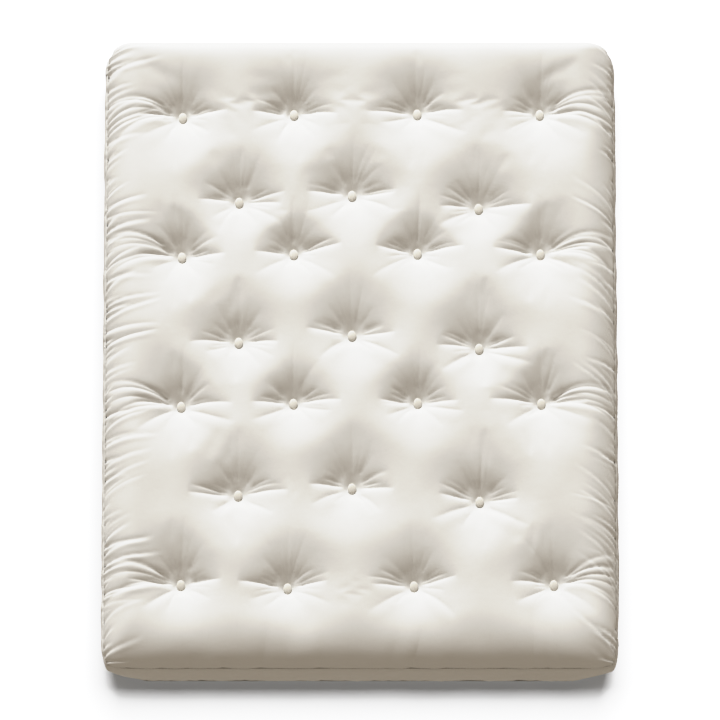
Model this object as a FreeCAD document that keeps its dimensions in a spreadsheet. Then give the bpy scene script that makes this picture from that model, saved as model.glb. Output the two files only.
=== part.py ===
import FreeCAD, Part

import os

V = FreeCAD.Vector
TURN_OVER = FreeCAD.Rotation(V(1, 0, 0), 180)

doc = FreeCAD.newDocument("futon_mattress")
sizes = doc.addObject("Spreadsheet::Sheet", "sizes")

# ---------------------------------------------------------------- named sizes, in mm

sheet_row = 0


def size(name, value, note=""):
    """One named size on the sheet: a plain number, or a formula on the sizes above it."""
    global sheet_row
    sheet_row += 1
    sizes.set(f"A{sheet_row}", name)
    sizes.set(f"B{sheet_row}", str(value))
    sizes.setAlias(f"B{sheet_row}", name)
    sizes.set(f"C{sheet_row}", note)


size("mattress_width", 1524, "side to side, a queen size of 60 in")
size("mattress_length", 2032, "head to foot, 80 in")
size("mattress_thickness", 200, "at the crown, an 8 in futon")
size("corner_radius", 85, "in plan")
size("shoulder_radius", 60, "from the top seam over to the crown")
size("underside_radius", 28, "from the bottom seam to the flat underside")
size("cover_thickness", 1.5, "cotton twill")
size("filling_gap", 0.5, "between cover and filling")
size("layer_gap", 0.4, "between two filling layers")
size("core_thickness", 60, "foam core")
size("fold_gap", 0.6, "between the two halves at the fold line")
size("seam_gap", 0.1, "between two cover pieces sewn together")

size("side_margin", 229, "from the side edge to the outer tufts, 9 in")
size("end_margin", 254, "from the end to the first and last row, 10 in")
size("tuft_depth_top", 65, "how far a tuft pulls the top down")
size("tuft_depth_bottom", 40, "how far it pulls the underside up")
size("pit_radius_top", 100, "where the pull of a tuft begins, on top")
size("pit_radius_bottom", 80, "the same underneath")
size("seat_radius", 16, "flat spot under a button")
size("twine_hole_radius", 5, "through the filling")
size("cover_hole_radius", 4.6, "through the cover and the washers")

size("button_radius", 12.7, "a 1 in covered button")
size("button_height", 8, "of the dome")
size("button_shell", 0.9, "cap and its fabric")
size("back_radius", 10.8, "back plate inside the cap")
size("back_thickness", 1.2)
size("eyelet_radius", 3.2, "centre line of the eyelet ring")
size("eyelet_wire", 0.7, "its wire radius")
size("eyelet_drop", 3.0, "ring centre behind the back plate")
size("washer_radius", 10.5)
size("washer_thickness", 2.5)
size("rest_gap", 0.1, "between washer, cover and back plate")
size("twine_radius", 0.9)
size("twine_spread", 2.5, "each strand from the middle of the hole")
size("twine_reach", 4.0, "eyelet centre to the centre of the loop end")
size("thread_radius", 0.8, "seam thread")
size("thread_gap", 0.1, "between thread and cover")

size("mid_height", "=mattress_thickness / 2")
size("top_seam_height", "=mattress_thickness - shoulder_radius")
size("bottom_seam_height", "=underside_radius")
size("filling_inset", "=cover_thickness + filling_gap")
size("batt_thickness",
     "=(mattress_thickness - 2 * filling_inset - core_thickness - 6 * layer_gap) / 6",
     "each of the six cotton batts")
size("pinch_top", "=tuft_depth_top / (mattress_thickness - mid_height)")
size("pinch_bottom", "=tuft_depth_bottom / mid_height")
size("seat_height_top", "=mattress_thickness - tuft_depth_top")
size("seat_height_bottom", "=tuft_depth_bottom")
size("plate_height", "=2 * rest_gap + washer_thickness", "back plate above the cover")
size("eyelet_height", "=plate_height - eyelet_drop", "eyelet centre above the cover")

# The tufts are tied by hand, so rows and columns stray a little from an even grid.
size("column_pitch", "=(mattress_width - 2 * side_margin) / 3")
size("row_pitch", "=(mattress_length - 2 * end_margin) / 6")
for n, stray in enumerate((4, -20, 55, 32, 78, 46, 13), 1):
    size(f"row_stray_{n}", stray, "toward the head")
for n, stray in enumerate((0, -21, -6, 7), 1):
    size(f"full_stray_{n}", stray, "to the right, in rows of four")
for n, stray in enumerate((-7, -24, 0), 1):
    size(f"mid_stray_{n}", stray, "to the right, in rows of three")
for n, stray in enumerate((2, -37, -18, 41), 1):
    size(f"foot_stray_{n}", stray, "to the right, in the foot row")
for n, lift in enumerate((0, 10, 12, 10), 1):
    size(f"full_lift_{n}", lift, "toward the head, in rows of four")
for n, lift in enumerate((0, 23, -20), 1):
    size(f"mid_lift_{n}", lift, "toward the head, in rows of three")
for n, lift in enumerate((0, -10, -4, 0), 1):
    size(f"foot_lift_{n}", lift, "toward the head, in the foot row")

TUFTS = []  # (row, column), row 1 at the head, column 1 on the left
for row in range(1, 8):
    full = row % 2 == 1
    kind = "foot" if row == 7 else "full" if full else "mid"
    for column in range(1, 5 if full else 4):
        steps = column - 1 if full else column - 0.5
        tag = f"{row}_{column}"
        size(f"tuft_x_{tag}", f"=-mattress_width / 2 + side_margin + {steps} * column_pitch"
             f" + {kind}_stray_{column}")
        size(f"tuft_y_{tag}", f"=mattress_length / 2 - end_margin - {row - 1} * row_pitch"
             f" + row_stray_{row} + {kind}_lift_{column}")
        TUFTS.append((row, column))

# The seven filling layers from the bottom: three batts, the core, three batts.
for k in range(1, 8):
    below = "filling_inset" if k == 1 else f"layer_high_{k - 1} + layer_gap"
    size(f"layer_low_{k}", f"={below}")
    size(f"layer_high_{k}",
         f"=layer_low_{k} + {'core_thickness' if k == 4 else 'batt_thickness'}")
for k in range(1, 7):
    meeting = f"(layer_high_{k} + layer_gap / 2)"
    size(f"dimple_{k}", f"=pinch_bottom * (mid_height - {meeting})" if k < 4
         else f"=pinch_top * ({meeting} - mid_height)", "where two layers meet at a tuft")

doc.recompute()


def bind(obj, **formulas):
    """Bind properties of an object to formulas on the sheet; __ stands for a dot."""
    for prop, formula in formulas.items():
        obj.setExpression(prop.replace("__", "."), str(formula))


# ---------------------------------------------------------------- sketches and bodies


def new_sketch(body, name, plane="XY_Plane", height=None):
    """A sketch on one of the body's own planes, raised to a height formula."""
    sketch = body.newObject("Sketcher::SketchObject", name)
    face = [f for f in body.Origin.OriginFeatures if f.Role == plane][0]
    sketch.AttachmentSupport = [(face, "")]
    sketch.MapMode = "FlatFace"
    if height:
        bind(sketch, AttachmentOffset__Base__z=height)
    return sketch


def rule(sketch, kind, *spec, formula=None):
    """Add a constraint and bind it when it has a formula."""
    import Sketcher
    index = sketch.addConstraint(Sketcher.Constraint(kind, *spec))
    if formula:
        sketch.setExpression(f"Constraints[{index}]", formula)
    return index


def draw_rectangle(sketch, width, length):
    """A rectangle about the origin; its two sides are formulas."""
    a, b = 100.0, 200.0
    corners = [V(-a, -b, 0), V(a, -b, 0), V(a, b, 0), V(-a, b, 0)]
    for i in range(4):
        sketch.addGeometry(Part.LineSegment(corners[i], corners[(i + 1) % 4]), False)
    for i in range(4):
        rule(sketch, "Coincident", i, 2, (i + 1) % 4, 1)
    for i, way in enumerate(("Horizontal", "Vertical", "Horizontal", "Vertical")):
        rule(sketch, way, i)
    rule(sketch, "DistanceX", 0, 1, 0, 2, 2 * a, formula=width)
    rule(sketch, "DistanceY", 1, 1, 1, 2, 2 * b, formula=length)
    rule(sketch, "Symmetric", 0, 1, 1, 2, -1, 1)


def draw_tuft_circles(sketch, radius):
    """One circle at every tuft."""
    for row, column in TUFTS:
        tag = f"{row}_{column}"
        x, y = sizes.get(f"tuft_x_{tag}"), sizes.get(f"tuft_y_{tag}")
        c = sketch.addGeometry(Part.Circle(V(x, y, 0), V(0, 0, 1), 10), False)
        rule(sketch, "DistanceX", -1, 1, c, 3, x, formula=f"sizes.tuft_x_{tag}")
        rule(sketch, "DistanceY", -1, 1, c, 3, y, formula=f"sizes.tuft_y_{tag}")
        rule(sketch, "Radius", c, 10, formula=radius)


def tuft_cones(body, name, kind, height, side, depth, upward):
    """Cones at every tuft, from a wide mouth at a height to the seat radius at a depth.

    kind is PartDesign::Pocket (pits) or PartDesign::Pad (the bumps that fill them).
    """
    sketch = new_sketch(body, f"{name}_mouths", height=height)
    draw_tuft_circles(sketch, f"sizes.pit_radius_{side}")
    cones = body.newObject(kind, name)
    cones.Profile = sketch
    cones.Reversed = upward if kind == "PartDesign::Pocket" else not upward
    bind(cones, Length=depth,
         TaperAngle=f"-atan((sizes.pit_radius_{side} - sizes.seat_radius) / ({depth}))")
    return cones


def tuft_holes(body, name, height, radius):
    """Straight holes down through the whole body at every tuft."""
    sketch = new_sketch(body, f"{name}_rims", height=height)
    draw_tuft_circles(sketch, radius)
    holes = body.newObject("PartDesign::Pocket", name)
    holes.Profile = sketch
    holes.Type = "ThroughAll"


def round_edges(body, name, pick, radius):
    """Fillet the edges of the body so far that `pick` chooses."""
    doc.recompute()
    base = body.Tip
    names = [f"Edge{i + 1}" for i, e in enumerate(base.Shape.Edges) if pick(e)]
    fillet = body.newObject("PartDesign::Fillet", name)
    fillet.Base = (base, names)
    bind(fillet, Radius=radius)


def upright(edge):
    box = edge.BoundBox
    return box.ZLength > 1 and box.XLength < 0.01 and box.YLength < 0.01


def flat_at(height):
    def pick(edge):
        box = edge.BoundBox
        return abs(box.ZMin - height) < 0.01 and abs(box.ZMax - height) < 0.01
    return pick


def cushion(name, inset, hole=None):
    """The whole cushion shape, drawn a distance inside the cover's outer face."""
    body = doc.addObject("PartDesign::Body", name)
    outline = new_sketch(body, f"{name}_outline", height=inset)
    draw_rectangle(outline, f"sizes.mattress_width - 2 * {inset}",
                   f"sizes.mattress_length - 2 * {inset}")
    block = body.newObject("PartDesign::Pad", f"{name}_block")
    block.Profile = outline
    bind(block, Length=f"sizes.mattress_thickness - 2 * {inset}")
    doc.recompute()
    box = block.Shape.BoundBox
    round_edges(body, f"{name}_corners", upright, f"sizes.corner_radius - {inset}")
    round_edges(body, f"{name}_shoulders", flat_at(box.ZMax),
                f"sizes.shoulder_radius - {inset}")
    round_edges(body, f"{name}_underside", flat_at(box.ZMin),
                f"sizes.underside_radius - {inset}")
    top = f"sizes.mattress_thickness - {inset}"
    tuft_cones(body, f"{name}_top_pits", "PartDesign::Pocket", top, "top",
               "sizes.tuft_depth_top", upward=False)
    tuft_cones(body, f"{name}_bottom_pits", "PartDesign::Pocket", inset, "bottom",
               "sizes.tuft_depth_bottom", upward=True)
    if hole:
        tuft_holes(body, f"{name}_holes", top, hole)
    return body


def layer_blank(k):
    """An oversize sheet of one filling layer, dimpled to nest with its neighbours."""
    name = f"layer_{k}"
    low, high = f"sizes.layer_low_{k}", f"sizes.layer_high_{k}"
    if k == 1:
        low = "sizes.layer_low_1 - 5"
    if k == 7:
        high = "sizes.layer_high_7 + 5"
    body = doc.addObject("PartDesign::Body", name)
    outline = new_sketch(body, f"{name}_outline", height=low)
    draw_rectangle(outline, "sizes.mattress_width + 20", "sizes.mattress_length + 20")
    block = body.newObject("PartDesign::Pad", f"{name}_block")
    block.Profile = outline
    bind(block, Length=f"{high} - ({low})")
    # Bumps first, then pits, since a pit may run on into its own bump.
    if k < 4:
        tuft_cones(body, f"{name}_bumps", "PartDesign::Pad", high, "bottom",
                   f"sizes.dimple_{k}", upward=True)
    if k > 4:
        tuft_cones(body, f"{name}_bumps", "PartDesign::Pad", low, "top",
                   f"sizes.dimple_{k - 1}", upward=False)
    if 1 < k <= 4:
        tuft_cones(body, f"{name}_low_pits", "PartDesign::Pocket", low, "bottom",
                   f"sizes.dimple_{k - 1}", upward=True)
    if 4 <= k < 7:
        tuft_cones(body, f"{name}_high_pits", "PartDesign::Pocket", high, "top",
                   f"sizes.dimple_{k}", upward=False)
    return body


# ---------------------------------------------------------------- booleans and boxes


def cut(name, base, tool):
    piece = doc.addObject("Part::Cut", name)
    piece.Base, piece.Tool = base, tool
    return piece


def common(name, first, second):
    piece = doc.addObject("Part::Common", name)
    piece.Base, piece.Tool = first, second
    return piece


def box(name, x0, x1, y0, y1, z0, z1):
    """A box between six formulas."""
    block = doc.addObject("Part::Box", name)
    bind(block, Length=f"({x1}) - ({x0})", Width=f"({y1}) - ({y0})",
         Height=f"({z1}) - ({z0})", Placement__Base__x=x0, Placement__Base__y=y0,
         Placement__Base__z=z0)
    return block


def cylinder(name, radius, height, base="0"):
    rod = doc.addObject("Part::Cylinder", name)
    bind(rod, Radius=radius, Height=height, Placement__Base__z=base)
    return rod


pieces = []


def keep(node, piece):
    """Mark a finished sub-part, named after its node."""
    piece.Label = node
    pieces.append(piece)
    return piece


HALF_X, HALF_Y = "sizes.mattress_width / 2", "sizes.mattress_length / 2"
FAR = "50"
ALL_Y = (f"-{HALF_Y} - {FAR}", f"{HALF_Y} + {FAR}")
ALL_Z = ("-1 * " + FAR, f"sizes.mattress_thickness + {FAR}")
SPANS = {
    "seat": (f"-{HALF_X} - {FAR}", "-sizes.fold_gap / 2"),
    "back": ("sizes.fold_gap / 2", f"{HALF_X} + {FAR}"),
}
half_space = {side: box(f"{side}_space", *span, *ALL_Y, *ALL_Z)
              for side, span in SPANS.items()}


def side_of(tuft):
    """The half that a tuft belongs to, by its own place."""
    return "seat" if sizes.get("tuft_x_%d_%d" % tuft) < 0 else "back"


# ---------------------------------------------------------------- the cover

outer = cushion("outer_form", "0", hole="sizes.cover_hole_radius")
lining = cushion("lining_form", "sizes.cover_thickness")
shell = cut("cover_shell", outer, lining)


def border(name, low, high):
    """A square ring round the edge of the mattress, clear of the outer tufts."""
    rim = box(f"{name}_rim", f"-{HALF_X} - {FAR}", f"{HALF_X} + {FAR}", *ALL_Y, low, high)
    width = "sizes.shoulder_radius"
    hollow = box(f"{name}_hollow", f"-{HALF_X} + {width}", f"{HALF_X} - {width}",
                 f"-{HALF_Y} + {width}", f"{HALF_Y} - {width}",
                 f"{low} - 1", f"{high} + 1")
    return cut(name, rim, hollow)


BOTTOM_SEAM, TOP_SEAM = "sizes.bottom_seam_height", "sizes.top_seam_height"
between_seams = border("between_seams", BOTTOM_SEAM, TOP_SEAM)
boxing_zone = border("boxing_zone", f"{BOTTOM_SEAM} + sizes.seam_gap",
                     f"{TOP_SEAM} - sizes.seam_gap")
ALL_X = (SPANS["seat"][0], SPANS["back"][1])
upper_zone = box("upper_zone", *ALL_X, *ALL_Y, "sizes.mid_height", ALL_Z[1])
lower_zone = box("lower_zone", *ALL_X, *ALL_Y, ALL_Z[0], "sizes.mid_height")
top_sheet = cut("top_sheet", common("top_shell", shell, upper_zone), between_seams)
bottom_sheet = cut("bottom_sheet", common("bottom_shell", shell, lower_zone), between_seams)
boxing = common("boxing_loop", shell, boxing_zone)

# The boxing strips are joined where the corners begin.
JOIN = f"{HALF_Y} - sizes.corner_radius"
STRIPS = {
    "head": (f"{JOIN} + sizes.seam_gap / 2", ALL_Y[1]),
    "side": (f"-{HALF_Y} + sizes.corner_radius + sizes.seam_gap / 2",
             f"{JOIN} - sizes.seam_gap / 2"),
    "foot": (ALL_Y[0], f"-{HALF_Y} + sizes.corner_radius - sizes.seam_gap / 2"),
}
for side, span in SPANS.items():
    keep(f"{side}_top_panel", common(f"{side}_top", top_sheet, half_space[side]))
    keep(f"{side}_bottom_panel", common(f"{side}_bottom", bottom_sheet, half_space[side]))
    for strip, reach in STRIPS.items():
        zone = box(f"{side}_{strip}_zone", *span, *reach, *ALL_Z)
        keep(f"{side}_boxing_{strip}", common(f"{side}_{strip}_strip", boxing, zone))


def seam_thread(name, height):
    """A thread right round the case, lying against the cover at a seam."""
    body = doc.addObject("PartDesign::Body", name)
    out = "(sizes.thread_radius + sizes.thread_gap)"
    path = new_sketch(body, f"{name}_path", height=height)
    a, b, r = (sizes.get("mattress_width") / 2, sizes.get("mattress_length") / 2,
               sizes.get("corner_radius"))
    # Four sides and four corner arcs, going round: foot, right, head, left.
    ends = [(V(r - a, -b, 0), V(a - r, -b, 0)), (V(a, r - b, 0), V(a, b - r, 0)),
            (V(a - r, b, 0), V(r - a, b, 0)), (V(-a, b - r, 0), V(-a, r - b, 0))]
    centres = [V(a - r, r - b, 0), V(a - r, b - r, 0), V(r - a, b - r, 0), V(r - a, r - b, 0)]
    quarter = 1.5707963267948966
    for i in range(4):
        path.addGeometry(Part.LineSegment(*ends[i]), False)
        circle = Part.Circle(centres[i], V(0, 0, 1), r)
        path.addGeometry(Part.ArcOfCircle(circle, (i - 1) * quarter, i * quarter), False)
    for i in range(4):
        line, arc, after = 2 * i, 2 * i + 1, (2 * i + 2) % 8
        rule(path, "Tangent", line, 2, arc, 1)
        rule(path, "Tangent", arc, 2, after, 1)
        rule(path, "Horizontal" if i % 2 == 0 else "Vertical", line)
        if i:
            rule(path, "Equal", 1, arc)
    rule(path, "Radius", 1, r, formula=f"sizes.corner_radius + {out}")
    rule(path, "DistanceX", -1, 1, 2, 1, a, formula=f"{HALF_X} + {out}")
    rule(path, "DistanceX", 6, 1, -1, 1, a, formula=f"{HALF_X} + {out}")
    rule(path, "DistanceY", -1, 1, 4, 1, b, formula=f"{HALF_Y} + {out}")
    rule(path, "DistanceY", 0, 1, -1, 1, b, formula=f"{HALF_Y} + {out}")
    profile = new_sketch(body, f"{name}_profile", "XZ_Plane")
    z = sizes.get("mattress_thickness") / 2
    c = profile.addGeometry(Part.Circle(V(a, z, 0), V(0, 0, 1), 1), False)
    rule(profile, "DistanceX", -1, 1, c, 3, a, formula=f"{HALF_X} + {out}")
    rule(profile, "DistanceY", -1, 1, c, 3, z, formula=height)
    rule(profile, "Radius", c, 1, formula="sizes.thread_radius")
    pipe = body.newObject("PartDesign::AdditivePipe", f"{name}_pipe")
    pipe.Profile = profile
    pipe.Spine = path
    return body


for seam, height in (("top", TOP_SEAM), ("bottom", BOTTOM_SEAM)):
    thread = seam_thread(f"{seam}_thread_loop", height)
    for side in SPANS:
        keep(f"{side}_{seam}_seam_thread",
             common(f"{side}_{seam}_thread", thread, half_space[side]))

# ---------------------------------------------------------------- the filling

filling = cushion("filling_form", "sizes.filling_inset", hole="sizes.twine_hole_radius")
LAYERS = ("cotton_batt_1", "cotton_batt_2", "cotton_batt_3", "foam_core",
          "cotton_batt_4", "cotton_batt_5", "cotton_batt_6")
for k, layer in enumerate(LAYERS, 1):
    whole = common(f"{layer}_whole", filling, layer_blank(k))
    for side in SPANS:
        keep(f"{side}_{layer}", common(f"{side}_{layer}_half", whole, half_space[side]))

# ---------------------------------------------------------------- buttons, washers, twine


def button_cap():
    """The domed cap, a thin shell turned round the middle, its rim at height 0."""
    body = doc.addObject("PartDesign::Body", "cap_form")
    sketch = new_sketch(body, "cap_profile", "XZ_Plane")
    r, h, t = (sizes.get(n) for n in ("button_radius", "button_height", "button_shell"))
    ball = (r * r + h * h) / (2 * h)
    middle = V(0, h - ball, 0)
    rim = V(1, 0, 0).getAngle(V(r, ball - h, 0))
    inner_rim = V(1, 0, 0).getAngle(V(((ball - t) ** 2 - (ball - h) ** 2) ** 0.5,
                                      ball - h, 0))
    quarter = 1.5707963267948966
    up = V(0, 0, 1)
    sketch.addGeometry(Part.ArcOfCircle(Part.Circle(middle, up, ball), rim, quarter), False)
    sketch.addGeometry(Part.LineSegment(V(0, h, 0), V(0, h - t, 0)), False)
    sketch.addGeometry(Part.ArcOfCircle(Part.Circle(middle, up, ball - t), inner_rim,
                                        quarter), False)
    sketch.addGeometry(Part.LineSegment(V(r - t, 0, 0), V(r, 0, 0)), False)
    rule(sketch, "Coincident", 0, 2, 1, 1)
    rule(sketch, "Coincident", 1, 2, 2, 2)
    rule(sketch, "Coincident", 2, 1, 3, 1)
    rule(sketch, "Coincident", 3, 2, 0, 1)
    rule(sketch, "Coincident", 0, 3, 2, 3)
    rule(sketch, "PointOnObject", 0, 3, -2)
    rule(sketch, "PointOnObject", 0, 2, -2)
    rule(sketch, "PointOnObject", 2, 2, -2)
    rule(sketch, "PointOnObject", 0, 1, -1)
    rule(sketch, "PointOnObject", 2, 1, -1)
    rule(sketch, "DistanceX", -1, 1, 0, 1, r, formula="sizes.button_radius")
    rule(sketch, "DistanceY", -1, 1, 0, 2, h, formula="sizes.button_height")
    rule(sketch, "DistanceY", 2, 2, 0, 2, t, formula="sizes.button_shell")
    turn = body.newObject("PartDesign::Revolution", "cap_turn")
    turn.Profile = sketch
    turn.ReferenceAxis = (sketch, ["V_Axis"])
    turn.Angle = 360
    bind(body, Placement__Base__z="sizes.plate_height")
    return body


def button_back():
    """The back plate with its eyelet ring standing behind it."""
    plate = cylinder("back_plate", "sizes.back_radius", "sizes.back_thickness",
                     "sizes.plate_height")
    ring = doc.addObject("Part::Torus", "back_eyelet")
    bind(ring, Radius1="sizes.eyelet_radius", Radius2="sizes.eyelet_wire")
    ring.Placement = FreeCAD.Placement(V(), FreeCAD.Rotation(V(1, 0, 0), 90))
    bind(ring, Placement__Base__z="sizes.eyelet_height")
    back = doc.addObject("Part::Fuse", "back_form")
    back.Base, back.Tool = plate, ring
    return back


def twine_loop():
    """A long closed loop through the eyelets of a top and a bottom button."""
    body = doc.addObject("PartDesign::Body", "twine_form")
    path = new_sketch(body, "twine_path", "YZ_Plane")
    s = sizes.get("twine_spread")
    high_rule = "sizes.seat_height_top + sizes.eyelet_height - sizes.twine_reach"
    low_rule = "sizes.seat_height_bottom - sizes.eyelet_height + sizes.twine_reach"
    reach = sizes.get("twine_reach") - sizes.get("eyelet_height")
    low = sizes.get("seat_height_bottom") + reach
    high = sizes.get("seat_height_top") - reach
    half_turn = 3.141592653589793
    up = V(0, 0, 1)
    path.addGeometry(Part.LineSegment(V(s, low, 0), V(s, high, 0)), False)
    path.addGeometry(Part.ArcOfCircle(Part.Circle(V(0, high, 0), up, s), 0, half_turn), False)
    path.addGeometry(Part.LineSegment(V(-s, high, 0), V(-s, low, 0)), False)
    path.addGeometry(Part.ArcOfCircle(Part.Circle(V(0, low, 0), up, s), half_turn,
                                      2 * half_turn), False)
    for i in range(4):
        rule(path, "Tangent", i, 2, (i + 1) % 4, 1)
    rule(path, "Vertical", 0)
    rule(path, "Equal", 1, 3)
    rule(path, "PointOnObject", 1, 3, -2)
    rule(path, "Radius", 1, s, formula="sizes.twine_spread")
    rule(path, "DistanceY", -1, 1, 1, 3, high, formula=high_rule)
    rule(path, "DistanceY", -1, 1, 3, 3, low, formula=low_rule)
    profile = new_sketch(body, "twine_profile", "XY_Plane", height=low_rule)
    c = profile.addGeometry(Part.Circle(V(0, s, 0), up, 1), False)
    rule(profile, "PointOnObject", c, 3, -2)
    rule(profile, "DistanceY", -1, 1, c, 3, s, formula="sizes.twine_spread")
    rule(profile, "Radius", c, 1, formula="sizes.twine_radius")
    pipe = body.newObject("PartDesign::AdditivePipe", "twine_pipe")
    pipe.Profile = profile
    pipe.Spine = path
    return body


cap, back = button_cap(), button_back()
washer = cut("washer_form",
             cylinder("washer_disc", "sizes.washer_radius", "sizes.washer_thickness",
                      "sizes.rest_gap"),
             cylinder("washer_hole", "sizes.cover_hole_radius",
                      "sizes.washer_thickness + 2", "sizes.rest_gap - 1"))
twine = twine_loop()


def at_tuft(name, parts, tuft, height="0", turned=False):
    """Copies of the given forms at one tuft; turned over for the underside."""
    copy = doc.addObject("Part::Compound", name)
    copy.Links = parts
    if turned:
        copy.Placement = FreeCAD.Placement(V(), TURN_OVER)
    tag = "%d_%d" % tuft
    bind(copy, Placement__Base__x=f"sizes.tuft_x_{tag}",
         Placement__Base__y=f"sizes.tuft_y_{tag}", Placement__Base__z=height)
    return copy


under = {"seat": [], "back": []}
felt = {"seat": [], "back": []}
cord = {"seat": [], "back": []}
for tuft in TUFTS:
    side, tag = side_of(tuft), "r%d_c%d" % tuft
    keep(f"{side}_button_{tag}",
         at_tuft(f"button_{tag}", [cap, back], tuft, "sizes.seat_height_top"))
    under[side].append(at_tuft(f"under_{tag}", [cap, back], tuft,
                               "sizes.seat_height_bottom", turned=True))
    felt[side].append(at_tuft(f"felt_{tag}", [washer], tuft, "sizes.seat_height_top"))
    felt[side].append(at_tuft(f"low_felt_{tag}", [washer], tuft,
                              "sizes.seat_height_bottom", turned=True))
    cord[side].append(at_tuft(f"cord_{tag}", [twine], tuft))
for side in SPANS:
    for node, group in (("under_buttons", under), ("felt_washers", felt),
                        ("tufting_twine", cord)):
        batch = doc.addObject("Part::Compound", f"{side}_{node}_all")
        batch.Links = group[side]
        keep(f"{side}_{node}", batch)

# ---------------------------------------------------------------- check and write

doc.recompute()
for obj in doc.Objects:
    assert not {"Invalid", "Error"} & set(obj.State), f"{obj.Name}: {obj.State}"
os.makedirs("parts", exist_ok=True)
for piece in pieces:
    shape = piece.Shape
    assert not shape.isNull() and shape.isValid(), piece.Label
    shape.exportStep(f"parts/{piece.Label}.step")
    print(f"{piece.Label}: {len(shape.Solids)} solids, {shape.Volume:.0f} mm3")
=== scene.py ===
"""Futon mattress: the sewn cotton case, its buttons and its filling, dressed over the CAD frame."""

import math

import bpy
import numpy as np
from mathutils import Matrix, Vector


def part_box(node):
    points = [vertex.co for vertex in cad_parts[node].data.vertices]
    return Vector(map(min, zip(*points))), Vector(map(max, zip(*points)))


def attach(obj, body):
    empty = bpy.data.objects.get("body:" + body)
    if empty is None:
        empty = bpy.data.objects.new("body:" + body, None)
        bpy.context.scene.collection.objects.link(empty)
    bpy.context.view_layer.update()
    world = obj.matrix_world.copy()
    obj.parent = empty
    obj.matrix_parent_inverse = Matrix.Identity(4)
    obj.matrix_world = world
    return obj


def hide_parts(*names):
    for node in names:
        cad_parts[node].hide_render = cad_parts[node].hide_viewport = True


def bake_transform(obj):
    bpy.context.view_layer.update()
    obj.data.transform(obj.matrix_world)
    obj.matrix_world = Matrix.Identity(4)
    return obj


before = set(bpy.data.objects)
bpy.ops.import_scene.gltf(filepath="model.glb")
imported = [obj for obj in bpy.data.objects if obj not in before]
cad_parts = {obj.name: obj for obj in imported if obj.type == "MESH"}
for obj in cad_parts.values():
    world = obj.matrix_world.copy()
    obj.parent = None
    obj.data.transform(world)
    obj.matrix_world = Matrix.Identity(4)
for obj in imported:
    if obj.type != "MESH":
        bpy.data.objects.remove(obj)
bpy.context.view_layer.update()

# ------------------------------------------------------------------ sizes, from the frame

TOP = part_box("seat_top_panel")[1].z
HALF_W = -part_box("seat_boxing_side")[0].x
HALF_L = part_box("seat_boxing_head")[1].y
TOP_SEAM = sum(p.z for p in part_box("seat_top_seam_thread")) / 2
LOW_SEAM = sum(p.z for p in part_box("seat_bottom_seam_thread")) / 2
CLOTH = 0.0015
SEAT_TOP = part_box("seat_top_panel")[0].z + CLOTH
SEAT_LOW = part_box("seat_bottom_panel")[1].z - CLOTH
PULL_TOP, PULL_LOW = TOP - SEAT_TOP, SEAT_LOW

BUTTON_NODES = sorted(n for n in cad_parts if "_button_r" in n)


def middle(node):
    low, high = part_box(node)
    return (low + high) / 2


TUFTS = np.array([middle(n)[:2] for n in BUTTON_NODES])
TUFT_ROW = np.array([int(n.split("_r")[1][0]) for n in BUTTON_NODES])
ROWS = [TUFTS[TUFT_ROW == r, 1].mean() for r in range(1, 8)]
COLUMNS = sorted(TUFTS[np.isin(TUFT_ROW, (3, 4)), 0])
# The staggered rows of three sit in more open cloth, so their hollows spread wider.
SPREAD = np.where(TUFT_ROW % 2 == 0, 1.12, 0.93)
BUTTON_R = (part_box(BUTTON_NODES[0])[1].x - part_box(BUTTON_NODES[0])[0].x) / 2

CORNER = 0.085
SIDE_ROLL, HEAD_ROLL, FOOT_ROLL, LOW_ROLL = 0.105, 0.045, 0.172, 0.045
TOP_REACH, LOW_REACH = 0.074, 0.055
QUARTER = math.pi / 2


# ------------------------------------------------------------------ small helpers


def deselect():
    for o in bpy.context.selected_objects:
        o.select_set(False)


def smooth_step(t):
    t = np.clip(t, 0, 1)
    return t * t * (3 - 2 * t)


def mesh_piece(name, points, faces, cloth_uv=None):
    """A smooth mesh from arrays, with the cloth's flat lay in metres as its UV map."""
    mesh = bpy.data.meshes.new(name)
    mesh.from_pydata(np.asarray(points).tolist(), [], np.asarray(faces).tolist())
    mesh.update()
    mesh.polygons.foreach_set("use_smooth", [True] * len(mesh.polygons))
    if cloth_uv is not None:
        layer = mesh.uv_layers.new(name="cloth")
        corner = np.empty(len(mesh.loops), np.int32)
        mesh.loops.foreach_get("vertex_index", corner)
        layer.data.foreach_set("uv", np.asarray(cloth_uv, np.float32)[corner].ravel())
    piece = bpy.data.objects.new(name, mesh)
    bpy.context.scene.collection.objects.link(piece)
    return piece


def points_of(piece):
    co = np.empty(len(piece.data.vertices) * 3, np.float32)
    piece.data.vertices.foreach_get("co", co)
    return co.reshape(-1, 3).astype(float)


def set_points(piece, co):
    piece.data.vertices.foreach_set("co", co.astype(np.float32).ravel())
    piece.data.update()


def uv_of(piece):
    """The cloth UV of each vertex."""
    mesh = piece.data
    corner = np.empty(len(mesh.loops), np.int32)
    mesh.loops.foreach_get("vertex_index", corner)
    uv = np.empty(len(mesh.loops) * 2, np.float32)
    mesh.uv_layers["cloth"].data.foreach_get("uv", uv)
    out = np.zeros((len(mesh.vertices), 2))
    out[corner] = uv.reshape(-1, 2)
    return out


def normals_of(piece):
    no = np.empty(len(piece.data.vertices) * 3, np.float32)
    piece.data.vertices.foreach_get("normal", no)
    return no.reshape(-1, 3).astype(float)


def apply_modifier(piece, kind, **settings):
    deselect()
    bpy.context.view_layer.objects.active = piece
    piece.select_set(True)
    modifier = piece.modifiers.new(kind.title(), kind)
    for key, value in settings.items():
        setattr(modifier, key, value)
    bpy.ops.object.modifier_apply(modifier=modifier.name)
    deselect()


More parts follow.
